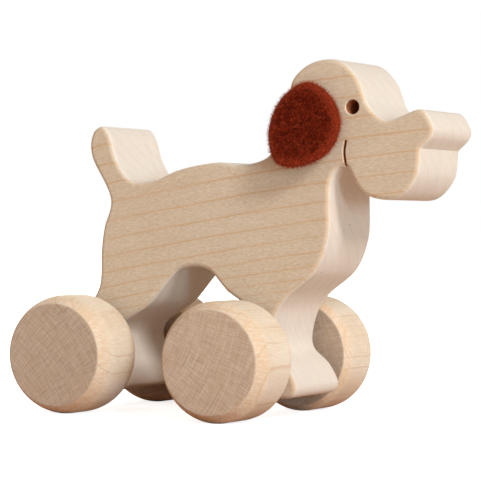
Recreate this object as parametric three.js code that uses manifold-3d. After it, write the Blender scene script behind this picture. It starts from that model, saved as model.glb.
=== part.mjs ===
// Wooden dog push toy: a dog sawn from one maple board, rolling on two dowel axles with turned wheels,
// with felt ears glued to its head.
// Millimetres, +Z up, +X towards the nose, the dog's left on +Y.
// The origin is on the floor, under the middle of the toy's box.

import * as THREE from 'three';
import { mergeVertices } from 'three/addons/utils/BufferGeometryUtils.js';
import Module from 'manifold-3d';

const wasm = await Module();
wasm.setup();

// Board
const boardThickness = 34;
const edgeRound = 1.6;
const outlineStep = 2;
const edgeSteps = 3;

// Wheels
const wheelbase = 59;
const wheelRadius = 20;
const wheelWidth = 23.6;
const wheelToBoard = 3.6;
const outerBevelLength = 4.8;
const outerBevelDrop = 2.7;
const innerBevelLength = 3.4;
const innerBevelDrop = 1.9;
const wheelBoreDepth = 14;
const wheelSides = 48;

// Axles
const axleDiameter = 8;
const axleEndBevel = 1;
const axleRunningGap = 0.3;
const axleGlueGap = 0.3;
const axleSides = 32;

// Legs and head
const soleBelowAxle = 12.6;
const eyeAheadOfFrontAxle = 37;
const eyeAboveAxle = 84;
const eyeDiameter = 4.8;
const eyeSides = 24;
const kerfWidth = 0.8;
const kerfSteps = 12;

// Ears
const earBehindEye = 15.5;
const earBelowEye = 6;
const earThickness = 4.5;
const earEdgeRound = 1.2;
const earGlueGap = 0.3;
const earGlueLine = 7;
const earTipStandOff = 5;
const earSides = 32;

// Places that the other pieces are measured from
const axleHeight = wheelRadius;
const rearAxleX = -wheelbase / 2;
const frontAxleX = wheelbase / 2;
const eyeX = frontAxleX + eyeAheadOfFrontAxle;
const eyeZ = axleHeight + eyeAboveAxle;
const axleRadius = axleDiameter / 2;
const wheelInnerY = boardThickness / 2 + wheelToBoard;
const cutMargin = 2;

// Landmarks on the dog's outline, as seen from its right side, drawn flat with the height as Y
const fromRearAxle = (x, z) => new THREE.Vector3(rearAxleX + x, axleHeight + z, 0);
const fromFrontAxle = (x, z) => new THREE.Vector3(frontAxleX + x, axleHeight + z, 0);
const fromEye = (x, z) => new THREE.Vector3(eyeX + x, eyeZ + z, 0);
const fromBetweenAxles = (x, z) => new THREE.Vector3(x, axleHeight + z, 0);

// Points along one smooth sweep of the saw through the landmarks
function sweep(landmarks) {
  const curve = new THREE.CatmullRomCurve3(landmarks);
  return curve.getSpacedPoints(Math.round(curve.getLength() / outlineStep));
}

// The outline runs from the rear heel along the soles and belly, up the chest to the nose,
// and back over the head, the back and the tail. The soles are straight.
function dogOutline() {
  const rearToe = [
    fromRearAxle(10.5, -soleBelowAxle),
    fromRearAxle(12.9, -11.1),
    fromRearAxle(13, -4.8),
  ];
  const rearLegFront = [
    fromRearAxle(9.1, 3.4),
    fromRearAxle(8.7, 6.8),
    fromRearAxle(10.2, 9.8),
    fromRearAxle(21.2, 17.3),
  ];
  const belly = [
    fromRearAxle(31.8, 28.8),
    fromBetweenAxles(8.2, 30.4),
    fromFrontAxle(-15.3, 29.2),
  ];
  const frontLegBack = [
    fromFrontAxle(-8.8, 22.8),
    fromFrontAxle(-1.1, 16.4),
    fromFrontAxle(-8.7, 0.3),
    fromFrontAxle(-11, -10.4),
    fromFrontAxle(-8, -soleBelowAxle),
  ];
  const frontToe = [
    fromFrontAxle(14.5, -soleBelowAxle),
    fromFrontAxle(17.3, -11.7),
    fromFrontAxle(18.5, -9),
    fromFrontAxle(15.1, -2.4),
  ];
  const frontLegFront = [
    fromFrontAxle(9.4, 2.7),
    fromFrontAxle(8.4, 6),
    fromFrontAxle(10.7, 16),
    fromFrontAxle(14.3, 21.1),
  ];
  const chest = [fromFrontAxle(24.7, 30.2), fromFrontAxle(28.9, 40.5)];
  const throat = [fromEye(-7.3, -23.5), fromEye(-4.2, -19.6), fromEye(-1.9, -19.4)];
  const lip = fromEye(24.3, -13.4);
  const jaw = [
    fromEye(-1.4, -19.7),
    fromEye(2.7, -26.5),
    fromEye(6.9, -29.3),
    fromEye(16.8, -29.5),
    fromEye(23.1, -22.7),
    lip,
  ];
  const nose = [
    lip,
    fromEye(28.1, -9.4),
    fromEye(28.7, -6.7),
    fromEye(25.3, -1.3),
    fromEye(22.9, -0.8),
    fromEye(12, -4.2),
  ];
  const head = [
    fromEye(5.8, 0.2),
    fromEye(1.7, 9.2),
    fromEye(-5, 15.2),
    fromEye(-15, 14.8),
    fromEye(-22.2, 9),
    fromEye(-23.5, -0.5),
    fromEye(-25.2, -7.5),
  ];
  const back = [
    fromFrontAxle(6.4, 67.9),
    fromFrontAxle(-2, 65.05),
    fromFrontAxle(-13, 65.6),
    fromRearAxle(31, 62.9),
    fromRearAxle(22.4, 59.5),
  ];
  const tail = [
    fromRearAxle(13.2, 59.1),
    fromRearAxle(7.5, 65.5),
    fromRearAxle(3.8, 75.2),
    fromRearAxle(1.2, 77.7),
    fromRearAxle(-1.9, 76.5),
    fromRearAxle(-3.5, 72.5),
    fromRearAxle(-2.9, 67.2),
  ];
  const rump = [
    fromRearAxle(4.85, 52.2),
    fromRearAxle(2.4, 42.8),
    fromRearAxle(1.5, 35.5),
    fromRearAxle(0.9, 22.8),
  ];
  const rearLegBack = [
    fromRearAxle(-4.9, 13),
    fromRearAxle(-8.3, 5.5),
    fromRearAxle(-10.7, -8.7),
    fromRearAxle(-9.5, -11.6),
    fromRearAxle(-7.3, -soleBelowAxle),
  ];
  return new THREE.Shape([
    ...sweep([...rearToe, ...rearLegFront, ...belly, ...frontLegBack]),
    ...sweep([...frontToe, ...frontLegFront, ...chest, ...throat]),
    ...sweep(jaw).slice(0, -1),
    ...sweep([...nose, ...head, ...back, ...tail, ...rump, ...rearLegBack]),
  ]);
}

// The mouth is the line that the saw left when it followed the back of the jaw up into the cheek
function mouthKerfOutline() {
  const line = new THREE.CatmullRomCurve3([
    fromEye(-1.5, -20.4),
    fromEye(-2.2, -17.7),
    fromEye(-2.6, -14.5),
    fromEye(-2.1, -10.8),
  ]);
  const rightSide = [];
  const leftSide = [];
  for (let step = 0; step <= kerfSteps; step += 1) {
    const point = line.getPoint(step / kerfSteps);
    const along = line.getTangent(step / kerfSteps);
    const across = new THREE.Vector3(along.y, -along.x, 0).multiplyScalar(kerfWidth / 2);
    rightSide.push(point.clone().add(across));
    leftSide.unshift(point.clone().sub(across));
  }
  return new THREE.Shape([...rightSide, ...leftSide]);
}

// Stands a drawing upright: its second axis becomes height, and its depth is centred on the board
function standUpright(geometry, depth) {
  return geometry.translate(0, 0, -depth / 2).rotateX(Math.PI / 2);
}

// Radius of the corners of a polygon whose flats lie at the given radius
const cornerRadius = (flatRadius, sides) => flatRadius / Math.cos(Math.PI / sides);

function crossBore(radius, sides, x, z) {
  const corners = cornerRadius(radius, sides);
  const bore = new THREE.CylinderGeometry(corners, corners, boardThickness + 2 * cutMargin, sides);
  return bore.translate(x, 0, z);
}

function toSolid(geometry) {
  const bare = geometry.clone();
  bare.deleteAttribute('normal');
  bare.deleteAttribute('uv');
  const merged = mergeVertices(bare);
  return new wasm.Manifold(new wasm.Mesh({
    numProp: 3,
    vertProperties: new Float32Array(merged.attributes.position.array),
    triVerts: new Uint32Array(merged.index.array),
  }));
}

function toGeometry(solid) {
  const mesh = solid.getMesh();
  const geometry = new THREE.BufferGeometry();
  geometry.setAttribute('position', new THREE.BufferAttribute(mesh.vertProperties, 3));
  geometry.setIndex(new THREE.BufferAttribute(mesh.triVerts, 1));
  geometry.computeVertexNormals();
  return geometry;
}

// The body is the sawn board with its edges rounded over, bored for the axles and the eyes
function bodyGeometry() {
  const straightDepth = boardThickness - 2 * edgeRound;
  const board = standUpright(new THREE.ExtrudeGeometry(dogOutline(), {
    depth: straightDepth,
    bevelThickness: edgeRound,
    bevelSize: edgeRound,
    bevelOffset: -edgeRound,
    bevelSegments: edgeSteps,
  }), straightDepth);
  const kerfDepth = boardThickness + 2 * cutMargin;
  const kerf = standUpright(new THREE.ExtrudeGeometry(mouthKerfOutline(), {
    depth: kerfDepth,
    bevelEnabled: false,
  }), kerfDepth);
  const axleBoreRadius = axleRadius + axleRunningGap;
  const cuts = [
    crossBore(axleBoreRadius, axleSides, rearAxleX, axleHeight),
    crossBore(axleBoreRadius, axleSides, frontAxleX, axleHeight),
    crossBore(eyeDiameter / 2, eyeSides, eyeX, eyeZ),
    kerf,
  ];
  const body = cuts.reduce((solid, cut) => solid.subtract(toSolid(cut)), toSolid(board));
  return toGeometry(body);
}

// A wheel is turned in one piece: a flat outer face, a bevel, a straight tread, a smaller bevel,
// and a blind bore in the inner face. Its profile starts at the outer face, on the axis.
function wheelGeometry() {
  const corner = (radius) => cornerRadius(radius, wheelSides);
  const boreRadius = corner(axleRadius + axleGlueGap);
  const boreEnd = wheelWidth - wheelBoreDepth;
  const profile = [
    [0, 0],
    [corner(wheelRadius - outerBevelDrop), 0],
    [corner(wheelRadius), outerBevelLength],
    [corner(wheelRadius), wheelWidth - innerBevelLength],
    [corner(wheelRadius - innerBevelDrop), wheelWidth],
    [boreRadius, wheelWidth],
    [boreRadius, boreEnd],
    [0, boreEnd],
  ].map(([radius, along]) => new THREE.Vector2(radius, along));
  return new THREE.LatheGeometry(profile, wheelSides, Math.PI / wheelSides);
}

// An axle is a dowel with bevelled ends, a glue gap short of the bottom of both wheel bores
function axleGeometry() {
  const halfLength = wheelInnerY + wheelBoreDepth - axleGlueGap;
  const profile = [
    [0, -halfLength],
    [axleRadius - axleEndBevel, -halfLength],
    [axleRadius, axleEndBevel - halfLength],
    [axleRadius, halfLength - axleEndBevel],
    [axleRadius - axleEndBevel, halfLength],
    [0, halfLength],
  ].map(([radius, along]) => new THREE.Vector2(radius, along));
  return new THREE.LatheGeometry(profile, axleSides);
}

// Landmarks on the rim of an ear, from its centre
const earRim = [
  [0.5, 14],
  [8.7, 9.4],
  [12.6, 0],
  [9.5, -9.1],
  [0, -13.7],
  [-8.5, -12.2],
  [-12.7, -2],
  [-9, 8.4],
];
const earLowest = Math.min(...earRim.map(([, z]) => z));

// How far an ear stands off the head: it lies flat above the glue line, and curls out below it
function earStandOff(z) {
  const below = Math.max(0, earGlueLine - z) / (earGlueLine - earLowest);
  return earTipStandOff * below * below;
}

// An ear is a thick felt pad. Rings that follow its rim run from the middle of the face that is glued,
// round the soft edge and over to the middle of the outer face. Side is -1 on the right, 1 on the left.
function earGeometry(side) {
  const points = earRim.map(([x, z]) => new THREE.Vector3(x, 0, z));
  const rim = new THREE.CatmullRomCurve3(points, true, 'catmullrom').getPoints(earSides).slice(0, -1);
  const faceRings = [0.35, 0.7];
  const rings = [
    ...faceRings.map((share) => ({ share, inset: 0, height: 0 })),
    { share: 1, inset: earEdgeRound, height: 0 },
    { share: 1, inset: 0, height: earEdgeRound },
    { share: 1, inset: 0, height: earThickness - earEdgeRound },
    { share: 1, inset: earEdgeRound, height: earThickness },
    ...faceRings.toReversed().map((share) => ({ share, inset: 0, height: earThickness })),
  ];
  const headFace = boardThickness / 2 + earGlueGap;
  const vertices = [];
  const addVertex = (x, z, height) => {
    const y = side * (headFace + earStandOff(z) + height);
    vertices.push(eyeX - earBehindEye + x, y, eyeZ - earBelowEye + z);
  };
  addVertex(0, 0, 0);
  for (const { share, inset, height } of rings) {
    for (const point of rim) {
      const reach = share - inset / point.length();
      addVertex(point.x * reach, point.z * reach, height);
    }
  }
  addVertex(0, 0, earThickness);

  const triangles = [];
  const addTriangle = (a, b, c) => triangles.push(...(side < 0 ? [a, b, c] : [a, c, b]));
  const ringStart = (ring) => 1 + ring * earSides;
  const lastVertex = vertices.length / 3 - 1;
  for (let i = 0; i < earSides; i += 1) {
    const next = (i + 1) % earSides;
    addTriangle(0, ringStart(0) + i, ringStart(0) + next);
    for (let ring = 0; ring + 1 < rings.length; ring += 1) {
      const inner = ringStart(ring);
      const outer = ringStart(ring + 1);
      addTriangle(inner + i, outer + i, inner + next);
      addTriangle(inner + next, outer + i, outer + next);
    }
    const lastRing = ringStart(rings.length - 1);
    addTriangle(lastRing + i, lastVertex, lastRing + next);
  }
  const geometry = new THREE.BufferGeometry();
  geometry.setAttribute('position', new THREE.Float32BufferAttribute(vertices, 3));
  geometry.setIndex(triangles);
  geometry.computeVertexNormals();
  return geometry;
}

const sandedMaple = () => new THREE.MeshStandardMaterial({ color: 0xd8bd97, roughness: 0.62, metalness: 0 });
const endGrainMaple = () => new THREE.MeshStandardMaterial({ color: 0xcbb08f, roughness: 0.7, metalness: 0 });
const beechDowel = () => new THREE.MeshStandardMaterial({ color: 0xd2ad84, roughness: 0.65, metalness: 0 });
const woolFelt = () => new THREE.MeshStandardMaterial({ color: 0x6e1f10, roughness: 0.95, metalness: 0 });

function namedMesh(name, geometry, material) {
  const mesh = new THREE.Mesh(geometry, material);
  mesh.name = name;
  return mesh;
}

// An axle with its two wheels, centred on the axle's middle. The left wheel is the right one turned round.
function wheelset(end) {
  const set = new THREE.Group();
  const rightWheel = namedMesh(`wheel_${end}_right`, wheelGeometry(), endGrainMaple());
  rightWheel.position.y = -(wheelInnerY + wheelWidth);
  const leftWheel = namedMesh(`wheel_${end}_left`, wheelGeometry(), endGrainMaple());
  leftWheel.position.y = wheelInnerY + wheelWidth;
  leftWheel.rotation.z = Math.PI;
  set.add(namedMesh(`axle_${end}`, axleGeometry(), beechDowel()), rightWheel, leftWheel);
  return set;
}

const dog = new THREE.Group();
dog.add(namedMesh('dog_body', bodyGeometry(), sandedMaple()));
dog.add(namedMesh('ear_right', earGeometry(-1), woolFelt()));
dog.add(namedMesh('ear_left', earGeometry(1), woolFelt()));
for (const [end, x] of [['front', frontAxleX], ['rear', rearAxleX]]) {
  const set = wheelset(end);
  set.position.set(x, 0, axleHeight);
  dog.add(set);
}

// Stand the toy with its box centred over the origin
const box = new THREE.Box3().setFromObject(dog);
dog.position.set(-(box.min.x + box.max.x) / 2, 0, -box.min.z);
const toy = new THREE.Group();
toy.add(dog);

export default toy;
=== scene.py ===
# Wooden dog push toy: a dog sawn from a maple board, rolling on two wheelsets, with felt ears.
# Metres, +Z up, +X towards the nose, the dog's left on +Y.
import math

import bmesh
import bpy
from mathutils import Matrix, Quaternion, Vector, noise
from mathutils.geometry import interpolate_bezier


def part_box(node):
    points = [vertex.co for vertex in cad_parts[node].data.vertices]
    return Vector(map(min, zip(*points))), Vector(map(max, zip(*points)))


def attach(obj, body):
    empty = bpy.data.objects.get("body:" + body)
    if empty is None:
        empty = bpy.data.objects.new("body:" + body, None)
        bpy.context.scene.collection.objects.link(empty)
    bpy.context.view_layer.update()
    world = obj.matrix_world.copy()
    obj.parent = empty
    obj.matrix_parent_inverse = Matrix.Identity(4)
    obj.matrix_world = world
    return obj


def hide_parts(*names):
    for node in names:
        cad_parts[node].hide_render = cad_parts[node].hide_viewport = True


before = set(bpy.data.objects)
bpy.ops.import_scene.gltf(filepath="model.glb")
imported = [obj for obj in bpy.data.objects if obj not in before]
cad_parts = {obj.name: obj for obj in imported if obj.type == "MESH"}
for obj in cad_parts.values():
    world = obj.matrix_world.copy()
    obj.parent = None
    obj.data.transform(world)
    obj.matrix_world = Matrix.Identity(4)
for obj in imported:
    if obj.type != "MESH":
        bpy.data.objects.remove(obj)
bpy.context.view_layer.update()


# Dog body
# One maple board, band-sawn to the outline of a standing dog and rounded over along every edge.
# It is bored through the paws for the axles and through the head for the eyes.
# The mouth is the saw's own kerf, where it left the line of the jaw.
mm = 0.001
edge_round = 1.6 * mm
edge_steps = 6
outline_step = 0.8 * mm
axle_bore_radius = 4.3 * mm
eye_radius = 2.4 * mm
eye_rim = 0.5 * mm
kerf_width = 0.8 * mm
kerf_rim = 0.25 * mm
burnish_and_shade_depth = 0.5 * mm
cut_margin = 2 * mm
drill_sides = 64
smooth_below = math.radians(32)


def middle(node):
    low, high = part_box(node)
    return (low + high) / 2


def marks(origin, *offsets):
    """Landmarks, in millimetres forward of and above an origin."""
    return [origin + Vector((x, 0, z)) * mm for x, z in offsets]


def saw_line(points, step, closed=False):
    """Points about a step apart on the smooth line that a saw follows through its landmarks."""
    before = points[-1] if closed else 2 * points[0] - points[1]
    after = points[:2] if closed else [2 * points[-1] - points[-2]]
    run = [before, *points, *after]
    line = []
    for p0, p1, p2, p3 in zip(run, run[1:], run[2:], run[3:]):
        gap0 = (p1 - p0).length ** 0.5
        gap1 = (p2 - p1).length ** 0.5
        gap2 = (p3 - p2).length ** 0.5
        leave = (p1 - p0) / gap0 - (p2 - p0) / (gap0 + gap1) + (p2 - p1) / gap1
        arrive = (p2 - p1) / gap1 - (p3 - p1) / (gap1 + gap2) + (p3 - p2) / gap2
        count = max(2, round((p2 - p1).length / step)) + 1
        line += interpolate_bezier(p1, p1 + leave * gap1 / 3, p2 - arrive * gap1 / 3, p2, count)[:-1]
    return line if closed else [*line, points[-1]]


rear_axle = middle("axle_rear")
front_axle = middle("axle_front")
between_axles = (rear_axle + front_axle) / 2
eye = front_axle + Vector((37, 0, 84)) * mm
board_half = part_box("dog_body")[1].y
sole = -12.6

rear_toe = marks(rear_axle, (10.5, sole), (12.9, -11.1), (13, -4.8))
rear_leg_front = marks(rear_axle, (9.1, 3.4), (8.7, 6.8), (10.2, 9.8), (21.2, 17.3), (31.8, 28.8))
belly = marks(between_axles, (8.2, 30.4), (14.2, 29.2))
front_leg_back = marks(front_axle, (-8.8, 22.8), (-1.1, 16.4), (-8.7, 0.3), (-11, -10.4), (-8, sole))
front_toe = marks(front_axle, (14.5, sole), (17.3, -11.7), (18.5, -9), (15.1, -2.4))
front_leg_front = marks(front_axle, (9.4, 2.7), (8.4, 6), (10.7, 16), (14.3, 21.1))
chest = marks(front_axle, (24.7, 30.2), (28.9, 40.5))
throat = marks(eye, (-7.3, -23.5), (-4.2, -19.6), (-1.9, -19.4))
jaw = marks(eye, (-1.4, -19.7), (2.7, -26.5), (6.9, -29.3), (16.8, -29.5), (23.1, -22.7))
lip = marks(eye, (24.3, -13.4))
nose = marks(eye, (28.1, -9.4), (28.7, -6.7), (25.3, -1.3), (22.9, -0.8), (12, -4.2))
head = marks(
    eye, (5.8, 0.2), (1.7, 9.2), (-5, 15.2), (-15, 14.8), (-22.2, 9), (-23.5, -0.5), (-25.2, -7.5))
back = [
    *marks(front_axle, (6.4, 67.9), (-2, 65.05), (-13, 65.6)),
    *marks(rear_axle, (31, 62.9), (22.4, 59.5))]
tail = marks(
    rear_axle, (13.2, 59.1), (7.5, 65.5), (3.8, 75.2), (1.2, 77.7), (-1.9, 76.5), (-3.5, 72.5),
    (-2.9, 67.2))
rump = marks(rear_axle, (4.85, 52.2), (2.4, 42.8), (1.5, 35.5), (0.9, 22.8))
rear_leg_back = marks(rear_axle, (-4.9, 13), (-8.3, 5.5), (-10.7, -8.7), (-9.5, -11.6), (-7.3, sole))
mouth = marks(eye, (-1.5, -20.4), (-2.2, -17.7), (-2.6, -14.5), (-2.1, -10.8))
outline = [
    *saw_line(rear_toe + rear_leg_front + belly + front_leg_back, outline_step),
    *saw_line(front_toe + front_leg_front + chest + throat, outline_step),
    *saw_line(jaw + lip, outline_step)[:-1],
    *saw_line(lip + nose + head + back + tail + rump + rear_leg_back, outline_step)]


def side_steps(line, closed):
    """For each point of a line in the XZ plane, the step to its right that keeps offset lines parallel."""
    steps = []
    for i, point in enumerate(line):
        first = line[i - 1] if closed or i else point
        last = line[(i + 1) % len(line)] if closed or i + 1 < len(line) else point
        turns = [Vector((b - a).normalized()) for a, b in ((first, point), (point, last)) if a != b]
        along = sum(turns, Vector()).normalized()
        right = Vector((along.z, 0, -along.x))
        steps.append(right / max(0.5, along.dot(turns[0])))
    return steps


def skinned(rings):
    """A body with faces between each two of its rings of points. A ring of one point is a pole."""
    body = bmesh.new()
    rows = [[body.verts.new(point) for point in ring] for ring in rings]
    for row, next_row in zip(rows, rows[1:]):
        for i in range(max(len(row), len(next_row))):
            near = row if len(row) == 1 else [row[i - 1], row[i]]
            far = next_row if len(next_row) == 1 else [next_row[i], next_row[i - 1]]
            body.faces.new([*near, *far])
    for row in (rows[0], rows[-1]):
        if len(row) > 1:
            body.faces.new(row)
    return body


def turned(profile, centre, sides):
    """A body turned about Y: its profile of (radius, along Y) starts and ends on the axis."""
    rings = []
    for radius, along in profile:
        angles = [2 * math.pi * i / sides for i in range(sides if radius else 1)]
        rings.append([centre + Vector((radius * math.sin(a), along, radius * math.cos(a))) for a in angles])
    return skinned(rings)


def both_ways(half_profile):
    """A profile of (size, along Y) from the middle plane outwards, mirrored to the other side."""
    return [(size, -y) for size, y in reversed(half_profile)] + half_profile


def new_piece(name, body):
    """An object at the origin, from a closed body with its faces turned outwards."""
    bmesh.ops.recalc_face_normals(body, faces=body.faces)
    mesh = bpy.data.meshes.new(name)
    body.to_mesh(mesh)
    body.free()
    mesh.shade_smooth()
    piece = bpy.data.objects.new(name, mesh)
    bpy.context.scene.collection.objects.link(piece)
    return piece


def settle(piece):
    """Turns a piece's modifiers into its plain mesh."""
    evaluated = piece.evaluated_get(bpy.context.evaluated_depsgraph_get())
    mesh = bpy.data.meshes.new_from_object(evaluated)
    piece.modifiers.clear()
    piece.data = mesh


def crisp(piece):
    """Keeps arrises sharp and flat faces flat, with smooth shading everywhere else."""
    piece.data.set_sharp_from_angle(angle=smooth_below)
    weighted = piece.modifiers.new("flat faces stay flat", "WEIGHTED_NORMAL")
    weighted.keep_sharp = True
    settle(piece)


# Each offset of the board's edge: how far in from the outline, and how far from the middle plane
quarter = [math.pi / 2 * i / edge_steps for i in range(edge_steps + 1)]
round_over = [
    (edge_round * (1 - math.cos(a)), board_half - edge_round * (1 - math.sin(a))) for a in quarter]
outline_steps = side_steps(outline, closed=True)
dog = new_piece("sawn_dog", skinned([
    [point - step * inset + Vector((0, y, 0)) for point, step in zip(outline, outline_steps)]
    for inset, y in both_ways(round_over)]))

eye_flare = [
    (eye_radius + eye_rim * (1 - math.cos(a)), board_half - eye_rim * (1 - math.sin(a)))
    for a in quarter[:-1]]
eye_mouth = (eye_flare[-1][0] + 4 * cut_margin, board_half + cut_margin)
eye_profile = [*eye_flare, eye_mouth, (0, board_half + cut_margin)]
bore_profile = [(axle_bore_radius, board_half + cut_margin), (0, board_half + cut_margin)]
mouth_line = saw_line(mouth, outline_step)
mouth_steps = side_steps(mouth_line, closed=False)


def kerf_ring(half_width, y):
    right = [p + s * half_width + Vector((0, y, 0)) for p, s in zip(mouth_line, mouth_steps)]
    left = [p - s * half_width + Vector((0, y, 0)) for p, s in zip(mouth_line, mouth_steps)]
    return [*right, *reversed(left)]


kerf_half = kerf_width / 2
kerf_profile = [
    (kerf_half, board_half - kerf_rim),
    (kerf_half + kerf_rim + cut_margin, board_half + cut_margin)]
cutters = [
    new_piece("kerf", skinned([kerf_ring(width, y) for width, y in both_ways(kerf_profile)])),
    new_piece("eye_drill", turned(both_ways(eye_profile), eye, drill_sides)),
    new_piece("rear_axle_drill", turned(both_ways(bore_profile), rear_axle, drill_sides)),
    new_piece("front_axle_drill", turned(both_ways(bore_profile), front_axle, drill_sides))]
maple = bpy.data.materials.new("sanded_maple")
burnish_and_shade = bpy.data.materials.new("bore_burnish_and_shade")
dog.data.materials.append(maple)
for cutter in cutters:
    cutter.data.materials.append(burnish_and_shade)
    cut = dog.modifiers.new(cutter.name, "BOOLEAN")
    cut.operation = "DIFFERENCE"
    cut.solver = "EXACT"
    cut.material_mode = "TRANSFER"
    cut.object = cutter
settle(dog)
for cutter in cutters:
    bpy.data.objects.remove(cutter)
# Faces near the board's faces go back to maple; deeper ones keep the red-brown, which is partly painted
# shade
for face in dog.data.polygons:
    if abs(face.center.y) > board_half - burnish_and_shade_depth:
        face.material_index = 0
crisp(dog)


class Wire:
    """An output of a node. Arithmetic on wires adds Math nodes to the tree that it belongs to."""

    def __init__(self, socket):
        self.socket = socket

    def add(self, kind, inputs, output=0, **settings):
        """Adds a node of any kind: its settings are set first, then each input's value or wire."""
        node = self.socket.id_data.nodes.new(kind)
        for name, value in settings.items():
            setattr(node, name, value)
        feed(node, inputs)
        return Wire(node.outputs[output])

    def math(self, operation, other=0.0):
        return self.add("ShaderNodeMath", {0: self, 1: other}, operation=operation)

    def __add__(self, other):
        return self.math("ADD", other)

    __radd__ = __add__

    def __sub__(self, other):
        return self.math("SUBTRACT", other)

    def __rsub__(self, other):
        return self.add("ShaderNodeMath", {0: other, 1: self}, operation="SUBTRACT")

    def __mul__(self, other):
        return self.math("MULTIPLY", other)

    __rmul__ = __mul__

    def __truediv__(self, other):
        return self.math("DIVIDE", other)

    def __abs__(self):
        return self.math("ABSOLUTE")

    def dot(self, direction):
        return self.add("ShaderNodeVectorMath", {0: self, 1: direction}, "Value", operation="DOT_PRODUCT")

    def step(self, low, high):
        """Rises smoothly from 0 at low to 1 at high."""
        limits = {"Value": self, "From Min": low, "From Max": high}
        return self.add("ShaderNodeMapRange", limits, interpolation_type="SMOOTHSTEP")


def feed(node, inputs):
    """Gives each input of a node its value, or links its wire."""
    for key, value in inputs.items():
        if isinstance(value, Wire):
            value.socket.id_data.links.new(value.socket, node.inputs[key])
        else:
            node.inputs[key].default_value = value


def cloud(x, y, z, detail=2.0):
    """Noise from 0 to 1, in coordinates that are already divided by the size of its features."""
    place = x.add("ShaderNodeCombineXYZ", {0: x, 1: y, 2: z})
    return x.add("ShaderNodeTexNoise", {"Vector": place, "Scale": 1.0, "Detail": detail})


def grit(place, size):
    """Noise from 0 to 1, with features of one size in millimetres, the same every way."""
    return place.add("ShaderNodeTexNoise", {"Vector": place, "Scale": 1 / size, "Detail": 2.0})


def blend(share, first, second):
    """A colour between two colours."""
    return share.add("ShaderNodeMix", {0: share, 6: first, 7: second}, 2, data_type="RGBA")


def shade(colour, factor):
    """A colour made lighter or darker by a factor."""
    return factor.add("ShaderNodeVectorMath", {0: colour, "Scale": factor}, operation="SCALE")


def start_finish(material):
    """A material's shader, its place on the piece in millimetres, and the way that it faces."""
    material.use_nodes = True
    nodes = material.node_tree.nodes
    coordinates = nodes.new("ShaderNodeTexCoord")
    metres = Wire(coordinates.outputs["Object"])
    place = metres.add("ShaderNodeVectorMath", {0: metres, "Scale": 1 / mm}, operation="SCALE")
    return nodes["Principled BSDF"], place, Wire(coordinates.outputs["Normal"])


# The growth rings rise towards the nose, flatten out over the head and lean across the board's thickness.
# They are as wide at the back as a fast year's growth, and close up below the belly.
# Painted light: an orange glow on the rounded edges from the middle of the dog forwards, where light shines
# through the wood.
ring_rise = 0.17
ring_lean = 0.87
ring_bow = 0.00046
wide_year = 6.95
close_height = 40
close_fade = 13
close_years = 2.2
ring_ragged = 0.05
glow_starts = -40
glow_full = 10
flank_pale = (0.69, 0.57, 0.44, 1)
flank_deep = (0.615, 0.465, 0.315, 1)
growth_line = (0.625, 0.385, 0.205, 1)
edge_pale = (0.745, 0.66, 0.565, 1)
edge_line = (0.68, 0.50, 0.37, 1)
painted_edge_glow = (0.66, 0.41, 0.21, 1)
speck_brown = (0.16, 0.09, 0.05, 1)

surface, place, facing = start_finish(maple)
forward = place.dot((1, 0, 0))
along = place.dot(Vector((1, 0, ring_rise)).normalized())
beside = place.dot(Vector((0, 1, -ring_lean)).normalized())
wander = cloud(along / 40, beside * 0.03, place.dot((0, 0, 1)) / 15) - 0.5
rings = place.dot((-ring_rise, ring_lean, 1)) + ring_lean * board_half / mm
rings = rings + ring_bow * forward * forward + 1.3 * wander
across = rings / math.hypot(1, ring_lean)
fleck = cloud(along / 1.5, across / 0.32, beside / 0.6)
closing = ((close_height - rings) / close_fade).math("EXPONENT")
year = rings / wide_year - close_years * closing
half_year = abs((year + ring_ragged * (fleck - 0.5)).math("FRACT") - 0.5)
strength = cloud(along / 24, across / 4, beside / 9).step(0.25, 0.6)
line = (1 - half_year.step(0.0, 0.08)) * (0.45 + 0.55 * strength)
late = half_year.step(0.5, 0.05) * 0.12
fibre = cloud(along / 16, across / 0.42, beside / 4)
mottle = cloud(along / 34, across / 13, beside / 22)
sanding = cloud(along / 60, place.dot((0, 1, 0)) / 0.55, place.dot((0, 0, 1)) / 60)
flat_on = abs(facing.dot((0, 1, 0)))
end_on = abs(facing.dot(Vector((1, 0, ring_rise)).normalized()))
planed = flat_on.step(0.35, 0.95)
# Painted light: an orange glow where the rounded edges of the front half turn from the flank
edge_glow = (flat_on * flat_on * end_on).step(0.1, 0.36) * forward.step(glow_starts, glow_full)
flank = blend(mottle.step(0.3, 0.7) * 0.25 + fleck.step(0.3, 0.72) * 0.75, flank_pale, flank_deep)
wood = blend(planed, edge_pale, flank)
wood = blend(edge_glow * (0.08 + 0.36 * strength), wood, painted_edge_glow)
lined = blend((line + late) * (0.34 + 0.42 * planed), wood, blend(planed, edge_line, growth_line))
tone = 1 - 0.16 * (fleck - 0.5) + 0.1 * (fibre - 0.5) + 0.16 * (1 - planed) * (sanding - 0.5)
dust = place.add("ShaderNodeTexVoronoi", {"Vector": place, "Scale": 0.06}, "Distance")
speck = 1 - dust.step(0.012, 0.022)
feed(surface, {
    "Base Color": blend(speck, shade(lined, tone), speck_brown),
    "Roughness": 0.56 + 0.16 * fleck,
    "Normal": fleck.add("ShaderNodeBump", {
        "Height": fleck + fibre * 0.5 - line * 0.4, "Strength": 0.3, "Distance": 0.1 * mm}),
    "Specular IOR Level": 0.3,
    "Subsurface Weight": 0.12,
    "Subsurface Radius": (2.6, 1.3, 0.6),
    "Subsurface Scale": 1 * mm})

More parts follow.
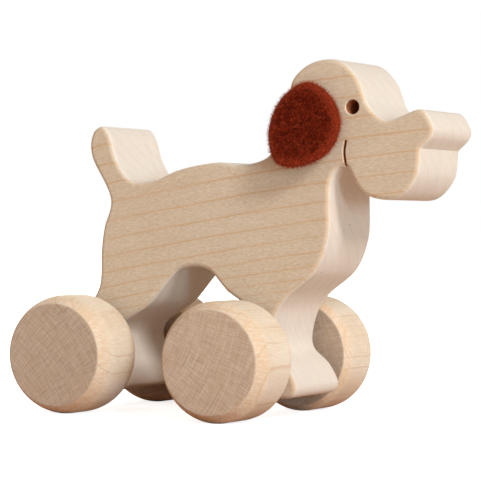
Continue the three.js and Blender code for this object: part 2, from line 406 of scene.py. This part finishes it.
# Inside the bores and the kerf the wood is red-brown: partly the tools' rubbing, partly painted shade of
# the holes
bore_brown = (0.40, 0.11, 0.035, 1)
bore_pale = (0.60, 0.24, 0.09, 1)
surface, place, facing = start_finish(burnish_and_shade)
drag = cloud(place.dot((1, 0, 0)) / 1.5, place.dot((0, 1, 0)) / 0.5, place.dot((0, 0, 1)) / 1.5)
feed(surface, {
    "Base Color": blend(drag.step(0.3, 0.7), bore_brown, bore_pale),
    "Roughness": 0.5 + 0.3 * drag})
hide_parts("dog_body")
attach(dog, "dog")


# Axles
# Two beech dowels, cut to length with bevelled ends. Each turns freely in the bore through a pair of paws,
# and is glued into the blind bores of its two wheels.
axle_end_bevel = 1 * mm
axle_sides = 64
dowel_pale = (0.66, 0.44, 0.27, 1)
dowel_deep = (0.52, 0.31, 0.17, 1)

beech = bpy.data.materials.new("beech_dowel")
surface, place, facing = start_finish(beech)
along = place.dot((0, 1, 0))
across = place.dot((1, 0, 0))
upward = place.dot((0, 0, 1))
streak = cloud(across / 0.6, along / 9, upward / 1.1)
pore = cloud(across / 0.3, along / 2.4, upward / 0.3)
feed(surface, {
    "Base Color": shade(blend(streak.step(0.3, 0.7), dowel_pale, dowel_deep), 1.1 - 0.25 * pore),
    "Roughness": 0.5 + 0.2 * pore,
    "Normal": pore.add("ShaderNodeBump", {"Height": pore, "Strength": 0.2, "Distance": 0.05 * mm})})

for end, centre in (("front", front_axle), ("rear", rear_axle)):
    low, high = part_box(f"axle_{end}")
    radius = (high.z - low.z) / 2
    half_length = (high.y - low.y) / 2
    half_profile = [
        (radius, half_length - axle_end_bevel), (radius - axle_end_bevel, half_length), (0, half_length)]
    axle = new_piece(f"dowel_{end}", turned(both_ways(half_profile), centre, axle_sides))
    crisp(axle)
    axle.data.materials.append(beech)
    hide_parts(f"axle_{end}")
    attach(axle, f"{end}_wheelset")


# Wheels
# Four wheels turned from a maple pole, so that their flat faces are end grain and their treads side grain.
# Both rims are bevelled, the outer one more, and the bore for the axle is blind.
outer_bevel = (4.8 * mm, 2.7 * mm)
inner_bevel = (3.4 * mm, 1.9 * mm)
wheel_bore_radius = 4.3 * mm
wheel_bore_depth = 14 * mm
face_arris = 0.5 * mm
wheel_sides = 128
arris_steps = 6
tread_pale = (0.775, 0.66, 0.52, 1)
tread_deep = (0.73, 0.58, 0.42, 1)
tread_line = (0.62, 0.39, 0.22, 1)
bevel_tan = (0.68, 0.42, 0.23, 1)
face_grey = (0.50, 0.365, 0.26, 1)
face_pale = (0.61, 0.485, 0.38, 1)
face_brown = (0.37, 0.25, 0.165, 1)


def eased(corners):
    """A profile whose corners, given as (radius, along, ease), are rounded by their ease."""
    points = [Vector((radius, along, 0)) for radius, along, ease in corners]
    profile = [points[0]]
    for i in range(1, len(corners) - 1):
        ease = corners[i][2]
        if ease:
            start = points[i] + (points[i - 1] - points[i]).normalized() * ease
            end = points[i] + (points[i + 1] - points[i]).normalized() * ease
            profile += interpolate_bezier(
                start, start.lerp(points[i], 0.6), end.lerp(points[i], 0.6), end, arris_steps)
        else:
            profile.append(points[i])
    return [(point.x, point.y) for point in [*profile, points[-1]]]


def turned_maple(name, centre, pith, face_tone_and_shade):
    """Maple with its grain along the wheel's axis. The pith is how far away the tree's middle lies."""
    finish = bpy.data.materials.new(name)
    surface, place, facing = start_finish(finish)
    along = place.dot((0, 1, 0))
    across = place.dot((1, 0, 0)) - (centre.x / mm - pith[0])
    upward = place.dot((0, 0, 1)) - (centre.z / mm - pith[1])
    from_pith = (across * across + upward * upward).math("SQRT")
    turn = upward.math("ARCTAN2", across) * math.hypot(*pith)
    wander = cloud(turn / 14, from_pith / 7, along / 60) - 0.5
    year = (from_pith + 1.6 * wander) / 3.6
    half_year = abs(year.math("FRACT") - 0.5)
    line = (1 - half_year.step(0.0, 0.09)) * cloud(turn / 9, from_pith / 3, along / 30).step(0.3, 0.6)
    ring_hatch = cloud(turn / 8, from_pith / 0.24, along / 20)
    ray_hatch = cloud(turn / 0.24, from_pith / 6, along / 5)
    fleck = cloud(turn / 0.35, from_pith / 0.8, along / 2.6)
    mottle = cloud(turn / 9, from_pith / 9, along / 30)
    flat_on = abs(facing.dot((0, 1, 0)))
    end_grain = flat_on.step(0.55, 0.95)
    slant = flat_on.step(0.12, 0.45) * (1 - end_grain)
    tread = blend(mottle.step(0.3, 0.7), tread_pale, tread_deep)
    hatch = ring_hatch.step(0.38, 0.62) * 0.5 + ray_hatch.step(0.38, 0.62) * 0.5
    face = blend(hatch, face_brown, face_pale)
    face = blend(mottle.step(0.25, 0.75) * 0.35 + 0.1, face, face_grey)
    turned_side = blend(slant * (0.1 + 0.5 * ray_hatch.step(0.36, 0.64)), tread, bevel_tan)
    wood = blend(end_grain, turned_side, face)
    lined = blend(line * (0.5 - 0.3 * end_grain), wood, tread_line)
    # A face tone below zero darkens the faces: on the left wheels that is painted shade
    tone = 1 + 0.3 * (fleck - 0.5) + face_tone_and_shade * end_grain
    feed(surface, {
        "Base Color": shade(lined, tone),
        "Roughness": 0.55 + 0.2 * hatch,
        "Normal": fleck.add("ShaderNodeBump", {
            "Height": fleck * 0.4 + hatch * end_grain, "Strength": 0.2, "Distance": 0.1 * mm}),
        "Specular IOR Level": 0.3,
        "Subsurface Weight": 0.1,
        "Subsurface Radius": (2.6, 1.3, 0.6),
        "Subsurface Scale": 1 * mm})
    return finish


# Where the tree's middle lies from each wheel's axis, in millimetres, how round its outer arris is, and how
# much paler or darker its faces are than the others'. The left wheels' darker faces are painted shade, for
# their inner faces in the shade between the legs.
wheel_cuts = {
    "front_right": ((60, -26), 0.8 * mm, 0.18),
    "front_left": ((-34, 58), 0.8 * mm, -0.1),
    "rear_right": ((46, 40), 3.2 * mm, 0.04),
    "rear_left": ((20, -62), 2 * mm, -0.06)}
for spot, (pith, tread_arris, face_tone_and_shade) in wheel_cuts.items():
    end, side = spot.split("_")
    node = f"wheel_{spot}"
    low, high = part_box(node)
    width = high.y - low.y
    centre = Vector((middle(node).x, low.y if side == "right" else high.y, middle(node).z))
    inward = 1 if side == "right" else -1
    radius = centre.z
    bore_end = width - wheel_bore_depth
    profile = eased([
        (0, 0, 0),
        (radius - outer_bevel[1], 0, face_arris),
        (radius, outer_bevel[0], tread_arris),
        (radius, width - inner_bevel[0], tread_arris),
        (radius - inner_bevel[1], width, face_arris),
        (wheel_bore_radius, width, 0),
        (wheel_bore_radius, bore_end, 0),
        (0, bore_end, 0)])
    wheel = new_piece(
        f"turned_{node}", turned([(r, inward * y) for r, y in profile], centre, wheel_sides))
    crisp(wheel)
    wheel.data.materials.append(turned_maple(f"turned_maple_{spot}", centre, pith, face_tone_and_shade))
    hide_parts(node)
    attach(wheel, f"{end}_wheelset")


# Ears
# Two ovals cut from thick red-brown wool felt and glued to the head along their upper halves.
# Below the glue they curl away from the wood, and loose wool stands up all over them.
ear_centre = eye + Vector((-15.5, 0, -6)) * mm
ear_rim = marks(
    ear_centre, (0.5, 14), (8.7, 9.4), (12.6, 0), (9.5, -9.1), (0, -13.7), (-8.5, -12.2), (-12.7, -2),
    (-9, 8.4))
ear_thickness = 4.5 * mm
ear_edge_round = 1.7 * mm
ear_glue_gap = 0.3 * mm
ear_glue_line = ear_centre.z + 7 * mm
ear_stand_off = 5 * mm
ear_lump = 0.35 * mm
ear_lump_size = 2.6 * mm
ear_face_rings = 14
ear_edge_rings = 9
ear_rim_step = 0.7 * mm
felt_deep = (0.055, 0.004, 0.001, 1)
felt_rust = (0.30, 0.026, 0.006, 1)
felt_light = (0.52, 0.10, 0.04, 1)
felt_rim = (0.32, 0.036, 0.011, 1)
wool_dark = (0.09, 0.0075, 0.0022, 1)
wool_rust = (0.26, 0.027, 0.0068, 1)
painted_fringe_light = (0.48, 0.082, 0.031, 1)
fibre_length = 1.1 * mm
fibre_radius = 0.06 * mm
fibres_per_square_metre = 7_500_000


def curl(z, lowest):
    """How far the felt stands off the head at a height."""
    below = max(0, ear_glue_line - z) / (ear_glue_line - lowest)
    return ear_stand_off * below * below


def felt_pad(side):
    """The felt oval on one side of the head, -1 right or 1 left, with its wool's cover and its rim."""
    rim = saw_line(ear_rim, ear_rim_step, closed=True)
    lowest = min(point.z for point in ear_rim)
    half = ear_thickness / 2
    inner = [(i / ear_face_rings, 0, 0) for i in range(ear_face_rings)]
    turns = [math.pi * i / (ear_edge_rings - 1) - math.pi / 2 for i in range(ear_edge_rings)]
    edge = [(1, ear_edge_round * (1 - math.cos(a)), half + half * math.sin(a)) for a in turns]
    outer = [(share, 0, ear_thickness) for share, inset, height in reversed(inner)]
    rings = []
    wool = []
    rimward = []
    for share, inset, height in [*inner, *edge, *outer]:
        ring = []
        for point in rim[:1] if share == 0 else rim:
            arm = point - ear_centre
            reach = share * (1 - ear_edge_round / arm.length) if share < 1 else 1 - inset / arm.length
            spot = ear_centre + arm * reach
            lump = noise.noise(spot / ear_lump_size + Vector((0, 9 * side, 0)))
            stand_off = curl(spot.z, lowest)
            spot.y = side * (board_half + ear_glue_gap + stand_off + height)
            if height > half:
                spot.y += side * ear_lump * (lump - 0.35)
            ring.append(spot)
            wool.append(1.0 if height > 0 else min(1.0, max(0.0, stand_off / mm - 1.5)))
            rimward.append(1.0 if share == 1 else max(0.0, 10 * share - 9))
        rings.append(ring)
    return skinned(rings), wool, rimward


# The felt's rim is lighter: partly the cut edge's own colour, partly painted light on its fuzz
felt = bpy.data.materials.new("wool_felt")
surface, place, facing = start_finish(felt)
wide = grit(place, 0.8)
fine = grit(place, 0.3)
rim = place.add("ShaderNodeAttribute", {}, "Fac", attribute_name="rim")
feed(surface, {
    "Base Color": blend(
        rim * 0.3, blend((wide * 0.6 + fine * 0.4).step(0.36, 0.66), felt_deep, felt_rust), felt_rim),
    "Roughness": 0.86 + 0.1 * fine,
    "Normal": fine.add("ShaderNodeBump", {"Height": fine + wide, "Strength": 0.7, "Distance": 0.3 * mm}),
    "Specular IOR Level": 0.06})

wool_fibre = bpy.data.materials.new("wool_fibre")
surface, place, facing = start_finish(wool_fibre)
tone = place.add("ShaderNodeAttribute", {}, "Fac", attribute_name="fibre_tone")
wide = grit(place, 0.9)
rim = place.add("ShaderNodeAttribute", {}, "Fac", attribute_name="rim")
fibre_colour = blend((0.6 * tone + 0.4 * wide).step(0.25, 0.75), wool_dark, wool_rust)
# Painted light: fibres on the rim are made brighter, for light shining through the fringe
fibre_colour = blend(rim * (0.35 + 0.55 * tone), fibre_colour, painted_fringe_light)
feed(surface, {
    "Base Color": blend(tone.step(0.7, 1.1), fibre_colour, felt_light),
    "Roughness": 0.7 + 0.2 * tone,
    "Specular IOR Level": 0.08})


def loose_wool_tree():
    """Scatters bent wool fibres over a pad, lying at random and tipped up from its surface."""
    tree = bpy.data.node_groups.new("loose_wool", "GeometryNodeTree")
    face = tree.interface
    face.new_socket("Geometry", in_out="OUTPUT", socket_type="NodeSocketGeometry")
    face.new_socket("Pad", in_out="INPUT", socket_type="NodeSocketGeometry")
    for name in ("Fibres per square metre", "Length", "Radius"):
        face.new_socket(name, in_out="INPUT", socket_type="NodeSocketFloat")
    face.new_socket("Seed", in_out="INPUT", socket_type="NodeSocketInt")
    face.new_socket("Material", in_out="INPUT", socket_type="NodeSocketMaterial")
    given = tree.nodes.new("NodeGroupInput")
    pad, density, length, radius, seed, material = [Wire(socket) for socket in given.outputs[:6]]
    wool = pad.add("GeometryNodeInputNamedAttribute", {"Name": "wool"}, data_type="FLOAT")
    scatter = {"Mesh": pad, "Density": density * wool, "Seed": seed}
    points = pad.add("GeometryNodeDistributePointsOnFaces", scatter, "Points")
    upright = Wire(points.socket.node.outputs["Rotation"])
    straight = pad.add("GeometryNodeMeshCone", {
        "Vertices": 3, "Side Segments": 3, "Radius Top": radius * 0.35, "Radius Bottom": radius,
        "Depth": length})
    height = pad.add("GeometryNodeInputPosition", {}).dot((0, 0, 1))
    bend = pad.add("ShaderNodeCombineXYZ", {0: 0.0, 1: height * height / length * 0.55, 2: 0.0})
    strand = pad.add("GeometryNodeSetPosition", {"Geometry": straight, "Offset": bend})
    steepest = (math.radians(50), 0, 0)
    flattest = (math.radians(88), 0, 2 * math.pi)
    lie = pad.add(
        "FunctionNodeRandomValue", {0: steepest, 1: flattest, "Seed": seed}, data_type="FLOAT_VECTOR")
    size = pad.add("FunctionNodeRandomValue", {2: 0.55, 3: 1.25, "Seed": seed + 1}, 1, data_type="FLOAT")
    rim = pad.add("GeometryNodeInputNamedAttribute", {"Name": "rim"}, data_type="FLOAT")
    fibres = pad.add("GeometryNodeInstanceOnPoints", {
        "Points": points, "Instance": strand, "Rotation": upright, "Scale": size * (1 - 0.15 * rim)})
    fibres = pad.add("GeometryNodeRotateInstances", {"Instances": fibres, "Rotation": lie})
    shade_of = pad.add("FunctionNodeRandomValue", {2: 0.0, 3: 1.0, "Seed": seed + 2}, 1, data_type="FLOAT")
    fibres = pad.add("GeometryNodeStoreNamedAttribute", {
        "Geometry": fibres, "Name": "fibre_tone", "Value": shade_of}, data_type="FLOAT", domain="INSTANCE")
    fibres = pad.add("GeometryNodeRealizeInstances", {"Geometry": fibres})
    fibres = pad.add("GeometryNodeSetMaterial", {"Geometry": fibres, "Material": material})
    feed(tree.nodes.new("NodeGroupOutput"), {0: fibres})
    return tree


loose_wool = loose_wool_tree()
wool_inputs = {
    "Fibres per square metre": fibres_per_square_metre, "Length": fibre_length, "Radius": fibre_radius,
    "Material": wool_fibre}
for side, name in ((-1, "right"), (1, "left")):
    body, wool, rimward = felt_pad(side)
    ear = new_piece(f"felt_ear_{name}", body)
    ear.data.attributes.new("wool", "FLOAT", "POINT").data.foreach_set("value", wool)
    ear.data.attributes.new("rim", "FLOAT", "POINT").data.foreach_set("value", rimward)
    ear.data.materials.append(felt)
    fuzz = bpy.data.objects.new(f"loose_wool_{name}", ear.data)
    bpy.context.scene.collection.objects.link(fuzz)
    scatter = fuzz.modifiers.new("loose wool", "NODES")
    scatter.node_group = loose_wool
    for socket in loose_wool.interface.items_tree:
        if socket.name in wool_inputs:
            scatter[socket.identifier] = wool_inputs[socket.name]
        if socket.name == "Seed":
            scatter[socket.identifier] = 20 + side
    settle(fuzz)
    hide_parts(f"ear_{name}")
    for piece in (ear, fuzz):
        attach(piece, "dog")


# Studio
# A pale floor under soft light: a lamp high ahead of the toy's right shoulder, a second one low beside it,
# a weak one behind its left side, and a white room. The floor and the room throw back a warmer light. The
# floor right under the toy throws back a darker, warmer light still: painted shade and painted warm light
# from the wood above it.
floor_reach = 6
floor_white = (0.9, 0.9, 0.9, 1)
floor_glow = (0.8, 0.8, 0.8, 1)
bounce_tan = (0.76, 0.61, 0.52, 1)
painted_shade_under_toy = (0.56, 0.32, 0.2, 1)
under_reach = 50
under_fade = 150
no_glow = (0, 0, 0, 1)
room_white = (1, 1, 1, 1)
room_warm = (0.44, 0.37, 0.315, 1)

paper = bpy.data.materials.new("floor_paper")
surface, place, facing = start_finish(paper)
tooth = grit(place, 30)
from_toy = place.dot(place).math("SQRT")
# Painted shade: the light that the floor throws back is darker and warmer under the toy
bounce = blend(from_toy.step(under_reach, under_fade), painted_shade_under_toy, bounce_tan)
in_view = place.add("ShaderNodeLightPath", {}, "Is Camera Ray")
feed(surface, {
    "Base Color": blend(in_view, bounce, floor_white), "Roughness": 0.9 + 0.1 * tooth,
    "Emission Color": blend(in_view, no_glow, floor_glow), "Emission Strength": 1.0,
    "Specular IOR Level": 0.1})
sweep = bmesh.new()
bmesh.ops.create_grid(sweep, x_segments=1, y_segments=1, size=floor_reach)
floor = new_piece("floor", sweep)
floor.data.materials.append(paper)

middle_of_toy = Vector((0, 0, 60)) * mm


def lamp(name, towards, distance, size, watts, colour):
    """A square soft box, in a direction from the toy, with its distance and size in metres."""
    light = bpy.data.lights.new(name, "AREA")
    light.color = colour
    light.size = size
    light.energy = watts
    box = bpy.data.objects.new(name, light)
    box.location = middle_of_toy + Vector(towards).normalized() * distance
    box.rotation_mode = "QUATERNION"
    box.rotation_quaternion = Vector(towards).to_track_quat("Z", "Y")
    bpy.context.scene.collection.objects.link(box)


lamp("key", (0.7, -0.37, 0.49), 3, 0.7, 58, (0.94, 0.97, 1))
lamp("front", (0.77, -0.63, 0.1), 3, 0.6, 31, (0.66, 0.88, 1))
lamp("back", (-0.6, 0.72, 0.36), 1.3, 0.8, 6, (0.98, 0.99, 1))
room = bpy.data.worlds.new("white_room")
bpy.context.scene.world = room
room.use_nodes = True
backdrop = room.node_tree.nodes["Background"]
in_view = Wire(backdrop.outputs[0]).add("ShaderNodeLightPath", {}, "Is Camera Ray")
feed(backdrop, {"Color": blend(in_view, room_warm, room_white), "Strength": 1.0})
bpy.context.scene.view_settings.view_transform = "Standard"


# Camera
# Level with the toy's chest, ahead of its right shoulder, with a long lens.
camera_spot = Vector((391.7, -719.8, 70.5)) * mm
camera_look = Vector((-0.46026, 0.88769, -0.01311))
camera_roll = math.radians(1)

view = bpy.data.cameras.new("camera")
view.sensor_width = 36
view.lens = 177.4
view.shift_x = -0.00505
view.shift_y = -0.0034
camera = bpy.data.objects.new("camera", view)
camera.location = Vector((between_axles.x, 0, 0)) + camera_spot
camera.rotation_mode = "QUATERNION"
camera.rotation_quaternion = camera_look.to_track_quat("-Z", "Y") @ Quaternion((0, 0, 1), camera_roll)
bpy.context.scene.collection.objects.link(camera)
bpy.context.scene.camera = camera
